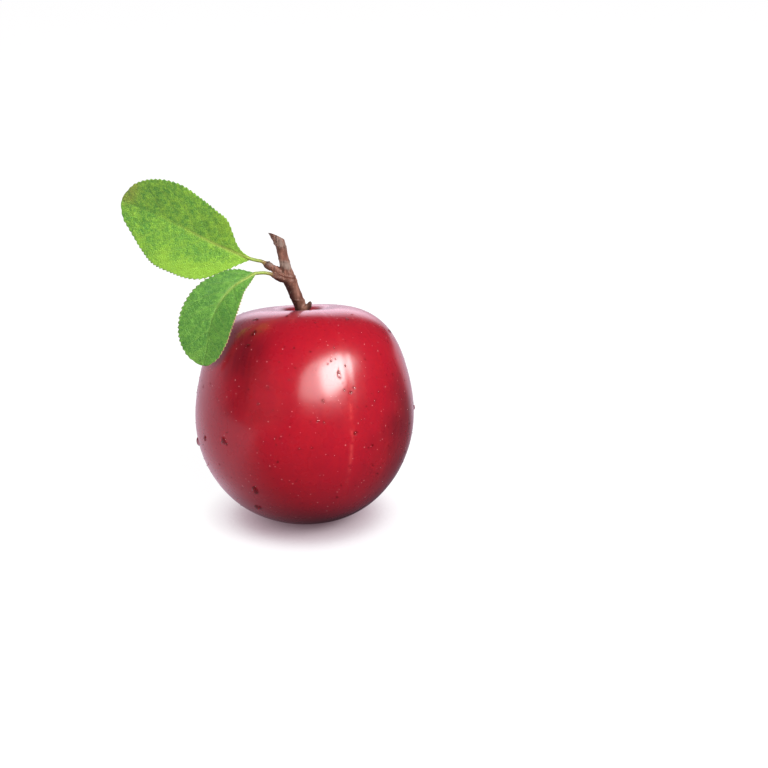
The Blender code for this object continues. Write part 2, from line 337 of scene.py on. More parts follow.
def closed_tube(rings):
    """The points and faces of a body whose surface runs through the rings, closed at each end
    by a pole in the middle of the end ring. The faces are turned outwards."""
    rows, columns, _ = rings.shape
    points = np.concatenate((rings.reshape(-1, 3), rings[[0, -1]].mean(axis=1)))
    quads, fans = tube_faces(rows, columns)
    triangles = np.concatenate((quads[:, [0, 1, 2]], quads[:, [0, 2, 3]], fans))
    a, b, c = (points[triangles[:, i]] for i in range(3))
    if np.einsum("ij,ij->", a, np.cross(b, c)) < 0:
        quads, fans = quads[:, ::-1], fans[:, ::-1]
    return points, quads.tolist() + fans.tolist()


def tube_rings(line, sides, count):
    """Round rings along a line of (x, y, z, radius) points, square to it."""
    path = smooth_line(line, count)
    centre, radius = path[:, :3], path[:, 3:]
    along = unit(np.gradient(centre, axis=0))
    side = unit(np.cross(along, (0.0, 1.0, 0.15)))
    other = np.cross(along, side)
    turn = np.linspace(0.0, 2 * math.pi, sides, endpoint=False)
    return (
        centre[:, None]
        + radius[:, None] * np.cos(turn)[:, None] * side[:, None]
        + radius[:, None] * np.sin(turn)[:, None] * other[:, None]
    )


def lay_mesh(name, points, faces):
    """A smooth mesh in metres round the resting spot, from points in millimetres."""
    mesh = bpy.data.meshes.new(name)
    mesh.from_pydata(((points + FRUIT_CENTRE) * MM).tolist(), [], faces)
    mesh.update()
    mesh.shade_smooth()
    return mesh


def set_values(mesh, name, values):
    """One number for each point of the mesh, for its finish to read."""
    layer = mesh.attributes.new(name, "FLOAT", "POINT")
    layer.data.foreach_set("value", np.ascontiguousarray(values, np.float32))


def add_piece(name, mesh, node=None):
    """A piece in the scene, riding on the part. It may stand for a node, whose part is then
    hidden.
    """
    piece = bpy.data.objects.new(name, mesh)
    bpy.context.scene.collection.objects.link(piece)
    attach(piece, "root")
    if node:
        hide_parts(node)


def add_tube(name, rings, values, finish, node):
    """A piece whose surface runs through the rings. Its finish reads the values, each with a
    number for every point of the rings, and a pole takes that of a point beside it."""
    points, faces = closed_tube(rings)
    mesh = lay_mesh(name, points, faces)
    for key, value in values.items():
        value = np.broadcast_to(value, rings.shape[:2]).ravel()
        set_values(mesh, key, np.concatenate((value, value[[0, -1]])))
    mesh.materials.append(finish)
    add_piece(name, mesh, node)


# --- Making finishes -------------------------------------------------------------------------
def add_node(tree, kind, inputs, out=0, **settings):
    """The output of a new node. Each of its inputs is another node's output or a value."""
    node = tree.nodes.new("ShaderNode" + kind)
    for key, value in settings.items():
        setattr(node, key, value)
    for key, value in inputs.items():
        if isinstance(value, bpy.types.NodeSocket):
            tree.links.new(value, node.inputs[key])
        else:
            node.inputs[key].default_value = value
    return node.outputs[out]


class Finish:
    """A node material on a Principled shader, with short ways to add nodes to it."""

    def __init__(self, name, **plain):
        self.material = bpy.data.materials.new(name)
        self.material.use_nodes = True
        self.tree = self.material.node_tree
        self.shader = self.tree.nodes["Principled BSDF"]
        for socket, value in plain.items():
            self.shader.inputs[socket.replace("_", " ")].default_value = value
        self.place = self.add("TexCoord", {}, "Object")

    def add(self, kind, inputs, out=0, **settings):
        """The output of a new node in this finish."""
        return add_node(self.tree, kind, inputs, out, **settings)

    def noise(self, size, detail=3.0, stretch=None, roughness=0.5):
        """Cloudy noise with clouds about `size` millimetres across, longer along an axis
        whose part of `stretch` is less than 1."""
        place = self.place
        if stretch:
            place = self.add("Mapping", {"Vector": place, "Scale": stretch})
        inputs = {"Vector": place, "Scale": 1000 / size, "Detail": detail,
                  "Roughness": roughness}
        return self.add("TexNoise", inputs)

    def cells(self, size, out="Distance", feature="F1"):
        """Cells about `size` millimetres across."""
        inputs = {"Vector": self.place, "Scale": 1000 / size}
        return self.add("TexVoronoi", inputs, out, feature=feature)

    def value(self, name):
        """What the mesh has under that name at each point."""
        return self.add("Attribute", {}, "Fac", attribute_name=name)

    def ramp(self, value, low, high, start=0.0, end=1.0):
        """start below low, end above high and an S-curve between."""
        inputs = {0: value, 1: low, 2: high, 3: start, 4: end}
        return self.add("MapRange", inputs, interpolation_type="SMOOTHSTEP")

    def calc(self, operation, a, b=0.0, clamp=False):
        """A sum or another operation on two numbers, held between 0 and 1 by clamp."""
        return self.add("Math", {0: a, 1: b}, operation=operation, use_clamp=clamp)

    def mix(self, share, a, b):
        """Colour a where the share is 0 and b where it is 1."""
        a, b = ((*c, 1.0) if isinstance(c, tuple) else c for c in (a, b))
        return self.add("Mix", {0: share, 6: a, 7: b}, 2, data_type="RGBA")

    def bump(self, height, depth, under=None):
        """Relief `depth` millimetres high, over another one if it is given."""
        inputs = {"Height": height, "Distance": depth * MM, "Strength": 1.0}
        if under:
            inputs["Normal"] = under
        return self.add("Bump", inputs)

    def feed(self, **sockets):
        """The finished material, its shader's sockets fed by the given outputs."""
        for socket, value in sockets.items():
            self.tree.links.new(value, self.shader.inputs[socket.replace("_", " ")])
        return self.material


def plum_skin_finish():
    """Waxy crimson skin: maroon where it is ripest and in a painted shade low on the right,
    streaked towards the stem, with small pale pores, a broken pale line along the suture that
    is partly a painted highlight, and a corky scar round each pole."""
    skin = Finish("plum_skin", Coat_Weight=0.95, Coat_Roughness=0.19, IOR=1.45,
                  Specular_IOR_Level=0.2, Sheen_Weight=0.05, Sheen_Roughness=0.5,
                  Sheen_Tint=(0.75, 0.60, 0.90, 1.0))
    crimson, maroon = (0.375, 0.0060, 0.0170), (0.140, 0.0030, 0.008)
    # Maroon where the fruit is ripest, and on the lower right as painted shade.
    ripeness_and_shade = skin.calc("ADD", skin.value("ripeness_and_shade"), skin.noise(9.0))
    colour = skin.mix(skin.ramp(ripeness_and_shade, 0.5, 1.5), crimson, maroon)
    streak = skin.ramp(skin.value("streak"), -0.6, 0.8)
    colour = skin.mix(skin.calc("MULTIPLY", streak, 0.25), colour, (0.42, 0.012, 0.013))
    mottle = skin.ramp(skin.noise(0.8), 0.40, 0.66)
    colour = skin.mix(skin.calc("MULTIPLY", mottle, 0.14), colour, (0.16, 0.006, 0.022))
    pore_size = skin.ramp(skin.cells(1.25, "Color"), 0.1, 0.95, 0.02, 0.125)
    pore = skin.calc("LESS_THAN", skin.cells(1.25), pore_size)
    colour = skin.mix(skin.calc("MULTIPLY", pore, 0.75), colour, (0.74, 0.26, 0.27))
    # The pale line along the suture is partly the skin's own and partly a painted highlight.
    broken = skin.ramp(skin.noise(2.0), 0.4, 0.6, 0.05, 0.5)
    seam_and_highlight = skin.calc("MULTIPLY", skin.value("seam_and_highlight"), broken)
    colour = skin.mix(seam_and_highlight, colour, (0.66, 0.075, 0.070))
    scar = skin.value("scar")
    colour = skin.mix(scar, colour, (0.13, 0.055, 0.03))
    relief = skin.bump(skin.noise(0.5, 4.0), 0.006)
    relief = skin.bump(pore, 0.012, relief)
    rough = skin.ramp(skin.noise(6.0, 4.0), 0.3, 0.75, 0.25, 0.32)
    rough = skin.calc("ADD", rough, skin.calc("MULTIPLY", scar, 0.4))
    return skin.feed(Base_Color=colour, Roughness=rough, Normal=relief)


def bark_finish():
    """Satin red-brown bark, grey-tan where it has weathered, dark where it is old and in a
    painted shade on the left below the fork, with fine flakes along the twig, pale pores and
    dark cracks."""
    bark = Finish("bark", Roughness=0.52, IOR=1.42)
    flakes = bark.noise(1.1, 5.0, stretch=(1, 1, 0.30), roughness=0.62)
    colour = bark.mix(bark.ramp(flakes, 0.34, 0.66), (0.115, 0.042, 0.028), (0.275, 0.130, 0.092))
    grey = bark.ramp(bark.calc("ADD", bark.value("weathered"), bark.noise(1.8, 4.0)), 0.75, 1.25)
    colour = bark.mix(bark.calc("MULTIPLY", grey, 0.85), colour, (0.285, 0.215, 0.180))
    # Dark where the spur's tip and the bud are old, and as painted shade on the stem's left side
    # below the fork.
    colour = bark.mix(bark.value("old_and_shaded"), colour, (0.040, 0.016, 0.012))
    crack = bark.ramp(bark.noise(0.5, 4.0, stretch=(1, 1, 0.18)), 0.30, 0.42, 1.0, 0.0)
    colour = bark.mix(bark.calc("MULTIPLY", crack, 0.6), colour, (0.035, 0.016, 0.012))
    pore = bark.ramp(bark.cells(0.8), 0.08, 0.16, 1.0, 0.0)
    colour = bark.mix(bark.calc("MULTIPLY", pore, 0.45), colour, (0.42, 0.33, 0.26))
    hollow = bark.ramp(bark.value("hollow"), 0.1, 0.9)
    colour = bark.mix(bark.calc("MULTIPLY", hollow, 0.6), colour, (0.035, 0.015, 0.011))
    relief = bark.bump(flakes, 0.07)
    relief = bark.bump(crack, -0.04, relief)
    relief = bark.bump(pore, 0.03, relief)
    return bark.feed(Base_Color=colour, Normal=relief)


def cut_wood_finish():
    """Pale pink-brown wood across the cut, with a soft pith and darker growth rings."""
    wood = Finish("cut_wood", Roughness=0.7)
    fibre = wood.noise(0.25, 4.0)
    colour = wood.mix(fibre, (0.30, 0.17, 0.11), (0.58, 0.42, 0.31))
    blotch = wood.ramp(wood.noise(0.9, 2.0), 0.45, 0.62)
    colour = wood.mix(wood.calc("MULTIPLY", blotch, 0.5), colour, (0.22, 0.11, 0.075))
    return wood.feed(Base_Color=colour, Normal=wood.bump(fibre, 0.05))


def leaf_finish(name, colours):
    """Leaf green, yellower in a painted glow of light through the blade, with a dense net of
    small veins that leaves darker specks between them, a yellow midrib and a browned tip."""
    leaf = Finish(name, Roughness=0.50, IOR=1.40, Sheen_Weight=0.06)
    cells = leaf.cells(0.52, feature="DISTANCE_TO_EDGE")
    net = leaf.ramp(cells, 0.02, 0.16, 1.0, 0.0)
    speck = leaf.ramp(leaf.noise(0.85, 4.0, roughness=0.75), 0.38, 0.62)
    cloud = leaf.ramp(leaf.noise(3.4, 4.0, roughness=0.6), 0.36, 0.66)
    # Painted glow: patches of the blade brightened towards yellow-green, as by light shining
    # through it.
    share = leaf.calc("ADD", leaf.calc("MULTIPLY", cloud, 0.36), leaf.value("glow"))
    share = leaf.calc("ADD", leaf.calc("MULTIPLY", speck, 0.46), share)
    share = leaf.calc("ADD", leaf.calc("MULTIPLY", net, 0.30), share, clamp=True)
    colour = leaf.mix(share, colours["deep"], colours["bright"])
    colour = leaf.mix(leaf.value("vein"), colour, colours["vein"])
    brown = leaf.calc("MULTIPLY", leaf.value("browned"), leaf.ramp(cloud, 0.1, 0.8, 0.5, 1.0))
    colour = leaf.mix(brown, colour, (0.30, 0.27, 0.055))
    colour = leaf.mix(leaf.value("rim"), colour, colours["rim"])
    relief = leaf.bump(net, -0.05)
    relief = leaf.bump(speck, 0.04, relief)
    return leaf.feed(Base_Color=colour, Normal=relief)


def stalk_finish():
    """Yellow-green leaf stalk, reddish where it leaves the twig."""
    stalk = Finish("stalk", Roughness=0.45, IOR=1.42)
    tint = stalk.ramp(stalk.value("redness"), 0.0, 1.0)
    colour = stalk.mix(tint, (0.26, 0.36, 0.06), (0.20, 0.12, 0.045))
    relief = stalk.bump(stalk.noise(0.4), 0.02)
    return stalk.feed(Base_Color=colour, Normal=relief)


def water_finish():
    """Clear water, tinted a little darker as painted shade, as a drop's edge is dark."""
    return Finish("water", Base_Color=(0.74, 0.56, 0.58, 1.0), Roughness=0.02,
                  Transmission_Weight=1.0, IOR=1.333).material


# --- The fruit -------------------------------------------------------------------------------
def leaning(points):
    """Points turned as the whole fruit leans, back and then to the left."""
    turn = Matrix.Rotation(-LEAN_LEFT, 3, "Y") @ Matrix.Rotation(-LEAN_BACK, 3, "X")
    return points @ np.array(turn).T


def turned_from(start, azimuth):
    """How far azimuth is round from start, at most half a turn either way."""
    return (azimuth - start + math.pi) % (2 * math.pi) - math.pi


def fruit_skin(latitude, azimuth):
    """Points on the skin. The radius is that of a ball, swollen at the shoulder, the heel and
    the cheeks, with slow dents. The suture is a narrow groove with a lip on its left and a
    step down to the right cheek, which rises again slowly. The stem cavity is a bell curve
    down from the top, creased towards its middle, and the blossom end has a small dent. Where
    the skin meets the ground it is pressed flat."""
    latitude, azimuth = np.broadcast_arrays(latitude, azimuth)
    flat = np.cos(latitude)
    aim = stacked(flat * np.sin(azimuth), -flat * np.cos(azimuth), np.sin(latitude))
    radius = FRUIT_RADIUS
    for share, middle, width in (SHOULDER, HEEL):
        radius = radius * (1 + share * hump(np.degrees(latitude), middle, width))
    off = turned_from(SUTURE_AZIMUTH, azimuth)
    radius = radius * (1 + CHEEK_SWELL * flat**2 * (1 - np.cos(2 * off)))
    radius = radius + 0.16 * soft_noise(aim, 0.55, 3) + 0.035 * soft_noise(aim, 0.16, 4)

    off = off + 0.018 * soft_noise(stacked(latitude * 2.2, 0, 0), 1.0, 5)
    groove = hump(off, 0.0, 0.035) - 0.22 * hump(off, -0.11, 0.05)
    step = (1 - np.exp(-np.clip(off, 0, None) / 0.09)) * smooth_step(1.3, 0.3, off)
    fade = np.clip((latitude + math.pi / 2) / math.pi, 0, 1) * flat**1.5
    radius = radius - fade * (SUTURE_DEPTH * groove + CHEEK_STEP * step)

    out = radius * flat
    round_stem = 3.4 * aim[..., :2] / (0.02 + flat)[..., None]
    crease = 0.10 * soft_noise(stacked(round_stem[..., 0], round_stem[..., 1], 0), 1.0, 6)
    sunk = CAVITY_DEPTH * hump(out, 0.0, CAVITY_RADIUS) + crease * hump(out, 3.5, 2.5)
    sunk = sunk * (latitude > 0) - BLOSSOM_DENT * hump(out, 0.0, 0.8) * (latitude < 0)
    points = leaning(
        stacked(out * np.sin(azimuth), -out * np.cos(azimuth), radius * np.sin(latitude) - sunk)
    )
    above = points[..., 2] + FRUIT_CENTRE[2]
    points[..., 2] += 0.5 * (np.sqrt(above**2 + PRESSED_EDGE**2) - above)
    return points


def skin_values(rings, latitude, azimuth):
    """What the skin's finish reads: fine streaks up the fruit, ripe patches and a painted shade
    low on the right, with a paler band beside the suture, a scar at each pole, and the seam
    along the suture, which fades out towards both and is partly a painted highlight."""
    way_round = stacked(np.sin(azimuth) * 9, np.cos(azimuth) * 9, latitude * 1.1)
    streak = 0.6 * soft_noise(way_round, 0.22, 7) + 0.4 * soft_noise(way_round, 0.6, 8)
    ripeness_and_shade = 0.25 * smooth_step(0.9, 1.5, latitude) + 0.30 * soft_noise(rings, 14.0, 9)
    # Ripe patches, one of them painted shade on the lower right.
    for at_latitude, at_azimuth, tall, wide, size in RIPE_AND_SHADED_PATCHES:
        near = hump(latitude, math.radians(at_latitude), math.radians(tall))
        turned = turned_from(math.radians(at_azimuth), azimuth)
        ripeness_and_shade = ripeness_and_shade + size * near * hump(turned, 0.0, math.radians(wide))
    off = turned_from(SUTURE_AZIMUTH, azimuth)
    ripeness_and_shade = ripeness_and_shade - 0.5 * hump(off + 0.03, 0.0, 0.035) * np.cos(latitude)
    top = hump(latitude, math.pi / 2, 0.075 + 0.02 * soft_noise(rings, 1.0, 10))
    heel = hump(latitude, -math.pi / 2, 0.032)
    # The seam is partly a painted highlight, strongest near the middle of the fruit's height.
    seam_and_highlight = hump(off, -0.015, 0.016) * smooth_step(-0.75, -0.10, latitude)
    seam_and_highlight = seam_and_highlight * (0.2 + 0.8 * smooth_step(0.50, 0.20, latitude))
    seam_and_highlight = seam_and_highlight * smooth_step(1.1, 0.6, latitude)
    return {"streak": streak, "ripeness_and_shade": ripeness_and_shade, "scar": top + heel, "seam_and_highlight": seam_and_highlight}


def build_fruit():
    """The skin as one closed surface, its rings crowded towards the cavity."""
    share = np.linspace(0.0, 1.0, FRUIT_RINGS)[:, None]
    latitude = np.radians(-89.4 + 179.1 * share**0.88)
    azimuth = np.linspace(0.0, 2 * math.pi, FRUIT_SEGMENTS, endpoint=False)
    rings = fruit_skin(latitude, azimuth)
    values = skin_values(rings, latitude, azimuth)
    add_tube("fruit_skin", rings, values, plum_skin_finish(), "fruit")


# --- The twig --------------------------------------------------------------------------------
def grown_together(name, limbs):
    """The mesh of one body out of several overlapping tubes: they are wrapped in a fine skin,
    and the joints between them are smoothed."""
    points, faces = np.zeros((0, 3)), []
    for rings in limbs:
        more_points, more_faces = closed_tube(rings)
        faces += [[i + len(points) for i in face] for face in more_faces]
        points = np.concatenate((points, more_points))
    mesh = bpy.data.meshes.new(name)
    mesh.from_pydata((points * MM).tolist(), [], faces)
    rough = bpy.data.objects.new(name + "_rough", mesh)
    bpy.context.scene.collection.objects.link(rough)
    wrap = rough.modifiers.new("wrap", "REMESH")
    wrap.mode, wrap.voxel_size = "VOXEL", TWIG_GRAIN * MM
    smooth = rough.modifiers.new("smooth", "SMOOTH")
    smooth.iterations, smooth.factor = 6, 0.5
    done = bpy.data.meshes.new_from_object(
        rough.evaluated_get(bpy.context.evaluated_depsgraph_get())
    )
    bpy.data.objects.remove(rough, do_unlink=True)
    return done


def read_points(mesh):
    """The mesh's points and the directions that its surface faces there."""
    points, normals = np.empty((len(mesh.vertices), 3)), np.empty((len(mesh.vertices), 3))
    mesh.vertices.foreach_get("co", points.ravel())
    mesh.vertices.foreach_get("normal", normals.ravel())
    return points, normals


def bark_height(points):
    """How far the bark stands out: long ridges, knobs, and the rings of old leaf scars."""
    long_way = points * (1.0, 1.0, 0.28)
    ridges = 0.050 * soft_noise(long_way, 0.42, 31) + 0.020 * soft_noise(long_way, 0.18, 32)
    knobs = 0.10 * soft_noise(points, 1.7, 33) + 0.030 * soft_noise(points, 0.55, 34)
    height = points[..., 2] + SCAR_SLANT * points[..., 0]
    scars = 0.0
    for middle, width, size in STEM_SCARS:
        scars = scars + size * hump(height, middle, width)
    for middle in SPUR_SCARS:
        scars = scars + 0.09 * hump(points[..., 0], middle, 0.13) * (points[..., 2] > 35.6)
    return ridges + knobs + scars


def cut_through(wood):
    """Cuts the twig on the slant and closes the cut with a flat face in its own finish."""
    body = bmesh.new()
    body.from_mesh(wood)
    cut = bmesh.ops.bisect_plane(
        body,
        geom=body.verts[:] + body.edges[:] + body.faces[:],
        plane_co=Vector((np.array(CUT_POINT) + FRUIT_CENTRE) * MM),
        plane_no=CUT_NORMAL,
        clear_outer=True,
    )
    rim = [item for item in cut["geom_cut"] if isinstance(item, bmesh.types.BMEdge)]
    for face in bmesh.ops.contextual_create(body, geom=rim)["faces"]:
        face.material_index = 1
        face.smooth = False
    body.to_mesh(wood)
    body.free()
    for face in wood.polygons:
        face.use_smooth = face.material_index == 0


def build_twig():
    """The stem, spur, leaf cushion and bud grown into one piece, with its bark raised along
    the normals."""
    limbs = [
        tube_rings(STEM, 40, 90),
        tube_rings(SPUR, 28, 40),
        tube_rings(CUSHION, 28, 30),
        tube_rings(BUD, 24, 24),
    ]
    wood = grown_together("twig_bark", limbs)
    points, normals = read_points(wood)
    points = points / MM
    height = bark_height(points)
    raised = points + normals * height[:, None] + FRUIT_CENTRE
    wood.vertices.foreach_set("co", (raised * MM).ravel())
    wood.update()

    x, up = points[:, 0], points[:, 2] + SCAR_SLANT * points[:, 0]
    # Painted shade: the stem's left side below the fork is darkened.
    below_fork = smooth_step(34.0, 31.5, up)
    shaded_left_side = smooth_step(1.2, -1.0, x + 0.36 * (points[:, 2] - 24.0))
    spur_tip = hump(x, -8.9, 1.0) + smooth_step(0.2, 1.2, x)
    set_values(wood, "hollow", np.clip(-height / 0.12, 0, 1))
    set_values(wood, "weathered", 0.75 * hump(up, 36.6, 1.3) + 0.55 * hump(up, 41.8, 3.0))
    set_values(wood, "old_and_shaded", np.clip(1.05 * below_fork * shaded_left_side + 0.75 * spur_tip, 0, 0.92))
    wood.materials.append(bark_finish())
    wood.materials.append(cut_wood_finish())
    cut_through(wood)
    add_piece("twig_bark", wood, "twig")


# --- The leaves ------------------------------------------------------------------------------
def half_width(share, knots):
    """Half the blade's width at a share of its length: a curve through the knots, then a
    quarter of an ellipse that closes the end."""
    end = np.clip((share - ROUND_END) / (1 - ROUND_END), 0, 1)
    return curve_through(knots, share) * np.sqrt(1 - end**2)


def toothed_width(leaf, share, length, side, along_edge):
    """How far out the blade reaches at each point: the half-width of its side, wavering a
    little, and near the edge cut into teeth that lean towards the tip."""
    one, other = (half_width(share, half) for half in leaf["halves"])
    wide = np.where(side > 0, one, other)
    tooth = (length / TOOTH_PITCH + 0.35 * soft_noise(along_edge, 2.5, leaf["seed"])) % 1.0
    tooth = np.minimum(tooth / 0.72, (1 - tooth) / 0.28) ** 0.8
    deep = TOOTH_DEPTH * np.clip(wide / 3.0, 0, 1)
    wide = wide + 0.10 * soft_noise(along_edge, 5.0, leaf["seed"] + 1)
    return np.maximum(wide + deep * (tooth - 0.6) * np.abs(side) ** 6, 0.05)


def blade_rings(leaf):
    """Rings round a leaf blade, and what its finish reads at each of their points.

    A ring goes out over the upper side from one edge to the other and back underneath. Over
    its width lie the fold along the midrib, the veins, which leave the midrib at even steps
    and curve towards the tip, the swelling between them and a slow wave along the edges.
    """
    line = smooth_line(leaf["blade"], LEAF_ROWS)
    share = (np.linspace(0.0, 1.0, LEAF_ROWS) * 0.997)[:, None]
    steps = np.linalg.norm(np.diff(line, axis=0), axis=1)
    length = np.concatenate(([0.0], np.cumsum(steps)))[:, None]
    along = unit(np.gradient(line, axis=0))
    base, tip = np.array(leaf["face_base"]), np.array(leaf["face_tip"])
    face = base + (tip - base) * share
    face = unit(face - (face * along).sum(1, keepdims=True) * along)
    across = np.cross(along, face)

    # One lap across the blade: -1 to 1 over the top, then 1 to -1 underneath.
    lap = np.linspace(-1.0, 1.0, LEAF_COLUMNS)
    lap = np.sign(lap) * np.abs(lap) ** 0.9
    side = np.concatenate((lap, lap[-2:0:-1]))
    upper = np.concatenate((np.ones(LEAF_COLUMNS), -np.ones(LEAF_COLUMNS - 2)))
    along_edge = stacked(length, 30 * np.sign(side), 0)
    wide = toothed_width(leaf, share, length, side, along_edge)
    out = wide * side

    x = np.abs(out)
    on_blade = stacked(length, out, 0)
    wobble = soft_noise(on_blade, 3.2, leaf["seed"] + 2)
    reach = length - 0.80 * x - 0.022 * x**2 + 0.35 * wobble + np.where(side > 0, 1.8, 0.3)
    phase = reach / leaf["vein_gap"]
    from_vein = np.abs(phase - np.round(phase)) * leaf["vein_gap"] * 0.78
    to_edge = 1 - np.abs(side) ** 3
    vein = hump(from_vein, 0.0, 0.15) * to_edge * (x > 0.25)
    midrib = hump(out, 0.0, 0.36 * (1 - share) + 0.12)
    swell = (1 - hump(from_vein, 0.0, 1.0)) * to_edge * np.clip(x / 1.2, 0, 1)
    ripple = 0.10 * soft_noise(on_blade, 1.3, leaf["seed"] + 3) * np.clip(x, 0, 1)
    wave = 0.55 * np.abs(side) ** 3 * soft_noise(along_edge, 7.0, leaf["seed"] + 4)
    lift = 0.05 * swell - 0.04 * vein - 0.14 * midrib + ripple + wave * np.clip(wide / 4, 0, 1)
    lift = lift + (np.sqrt(out**2 + 1.0) - 1.0) * math.sin(leaf["keel"])
    thick = BLADE_THICKNESS / 2 * (1 - 0.75 * np.abs(side) ** 10) + 0.02
    lift = lift + thick * upper
    out = out * math.cos(leaf["keel"])
    rings = line[:, None] + out[..., None] * across[:, None] + lift[..., None] * face[:, None]

    pale_rim = smooth_step(0.955, 0.995, side * leaf["pale_rim"])
    rim = (pale_rim + 0.3 * smooth_step(0.97, 1.0, np.abs(side))) * (x > 0)
    # Patches of painted glow, as of light shining through the blade.
    glow = 0.0
    for at_share, at_side, long, wide_part, size in leaf["glow"]:
        glow = glow + size * hump(share, at_share, long) * hump(side, at_side, wide_part)
    clear = 0.15 + 0.6 * smooth_step(0.72, 0.30, share)
    above, below = upper > 0, upper < 0
    shown_vein = np.maximum(midrib * clear, 0.16 * vein) * above + 0.4 * midrib * below
    browned = leaf["browned"] * hump(share, 1.0, 0.09) * smooth_step(-0.6, 0.6, side)
    return rings, {"vein": shown_vein, "rim": rim, "glow": glow, "browned": browned}


def stalk_rings(leaf):
    """Rings round a leaf's stalk, which runs on under the blade as its tapering midrib, and
    how red it is: only where it leaves the twig."""
    stalk = smooth_line(leaf["stalk"], STALK_POINTS)
    blade = smooth_line(leaf["blade"], MIDRIB_POINTS)
    face = unit(np.array(leaf["face_base"]))
    share = np.linspace(0.0, 1.0, MIDRIB_POINTS)[:, None]
    under = blade - face * (0.30 * smooth_step(0.0, 0.1, share) - 0.12 * share)
    thicker = 1 + 0.55 * hump(np.linspace(0, 1, STALK_POINTS), 0.0, 0.16)
    thinner = 1 - 0.82 * np.linspace(0, 1, MIDRIB_POINTS - 1) ** 0.7
    radius = STALK_RADIUS * np.concatenate((thicker, thinner))
    path = np.column_stack((np.concatenate((stalk, under[1:])), radius))[:-MIDRIB_SHORT]
    redness = hump(np.linspace(0, 1, len(path)), 0.0, 0.13)[:, None]
    return tube_rings(path, 16, len(path)), {"redness": redness}


def build_leaf(name, leaf, stalk):
    """A blade and its stalk."""
    rings, values = blade_rings(leaf)
    finish = leaf_finish(name + "_green", leaf)
    add_tube(name + "_blade", rings, values, finish, name)
    rings, values = stalk_rings(leaf)
    add_tube(name + "_stalk", rings, values, stalk, name)


# --- The drops of water ----------------------------------------------------------------------
def domes(drops, rows, columns):
    """The points and faces of one closed dome for each drop.

    A dome follows the skin from its middle, r = 0, to its uneven edge, r = 1, standing
    (1 - r^2)^0.6 of its height out of it, a little fuller on its lower side. It is closed by
    a sheet that lies just under the skin.
    """
    latitude, azimuth, radius, stretch = (column[:, None, None] for column in np.array(drops).T)
    r = np.linspace(0.1, 1.0, rows)
    r = np.concatenate((r, r[::-1]))[None, :, None]
    over = (np.arange(2 * rows) < rows)[None, :, None]
    turn = np.linspace(0.0, 2 * math.pi, columns, endpoint=False)[None, None, :]
    start = 37.0 * azimuth
    edge = 1 + 0.10 * np.cos(2 * turn + start) + 0.07 * np.cos(3 * turn - 2 * start)
    aside = radius * edge * r * np.cos(turn) / FRUIT_RADIUS / np.cos(latitude)
    uphill = radius * stretch * edge * r * np.sin(turn) / FRUIT_RADIUS
    skin = fruit_skin(latitude + uphill, azimuth + aside)
    step = 0.002
    eastward = fruit_skin(latitude + uphill, azimuth + aside + step) - skin
    northward = fruit_skin(latitude + uphill + step, azimuth + aside) - skin
    outward = unit(np.cross(eastward, northward))
    height = DROP_HEIGHT * radius * (1 - r**2) ** 0.6 * (1 - 0.22 * r * np.sin(turn))
    rings = skin + outward * np.where(over, height, -DROP_FOOT)[..., None]
    poles = rings[:, [0, -1]].mean(axis=2)
    points = np.concatenate((rings.reshape(len(drops), -1, 3), poles), axis=1)
    first = np.arange(len(drops))[:, None, None] * points.shape[1]
    quads, fans = (faces[:, ::-1] + first for faces in tube_faces(2 * rows, columns))
    return points.reshape(-1, 3), quads.reshape(-1, 4).tolist() + fans.reshape(-1, 3).tolist()


def build_drops():
    """The drops of water, and a fine spray of much smaller ones, all in one piece."""
    large = np.array(DROPS) * (math.radians(1), math.radians(1), 1, 1)
    rng = np.random.default_rng(FINE_DROP_SEED)
    fine = np.column_stack((
        np.arcsin(rng.uniform(-0.80, 0.88, FINE_DROPS)),
        rng.uniform(-math.pi, math.pi, FINE_DROPS),
        0.09 + 0.16 * rng.uniform(0, 1, FINE_DROPS) ** 3,
        rng.uniform(0.8, 1.3, FINE_DROPS),
    ))
    large_points, large_faces = domes(large, 9, 28)
    fine_points, fine_faces = domes(fine, 3, 9)
    fine_faces = [[i + len(large_points) for i in face] for face in fine_faces]
    points = np.concatenate((large_points, fine_points))
    mesh = lay_mesh("water_drops", points, large_faces + fine_faces)
    mesh.materials.append(water_finish())
    add_piece("water_drops", mesh)


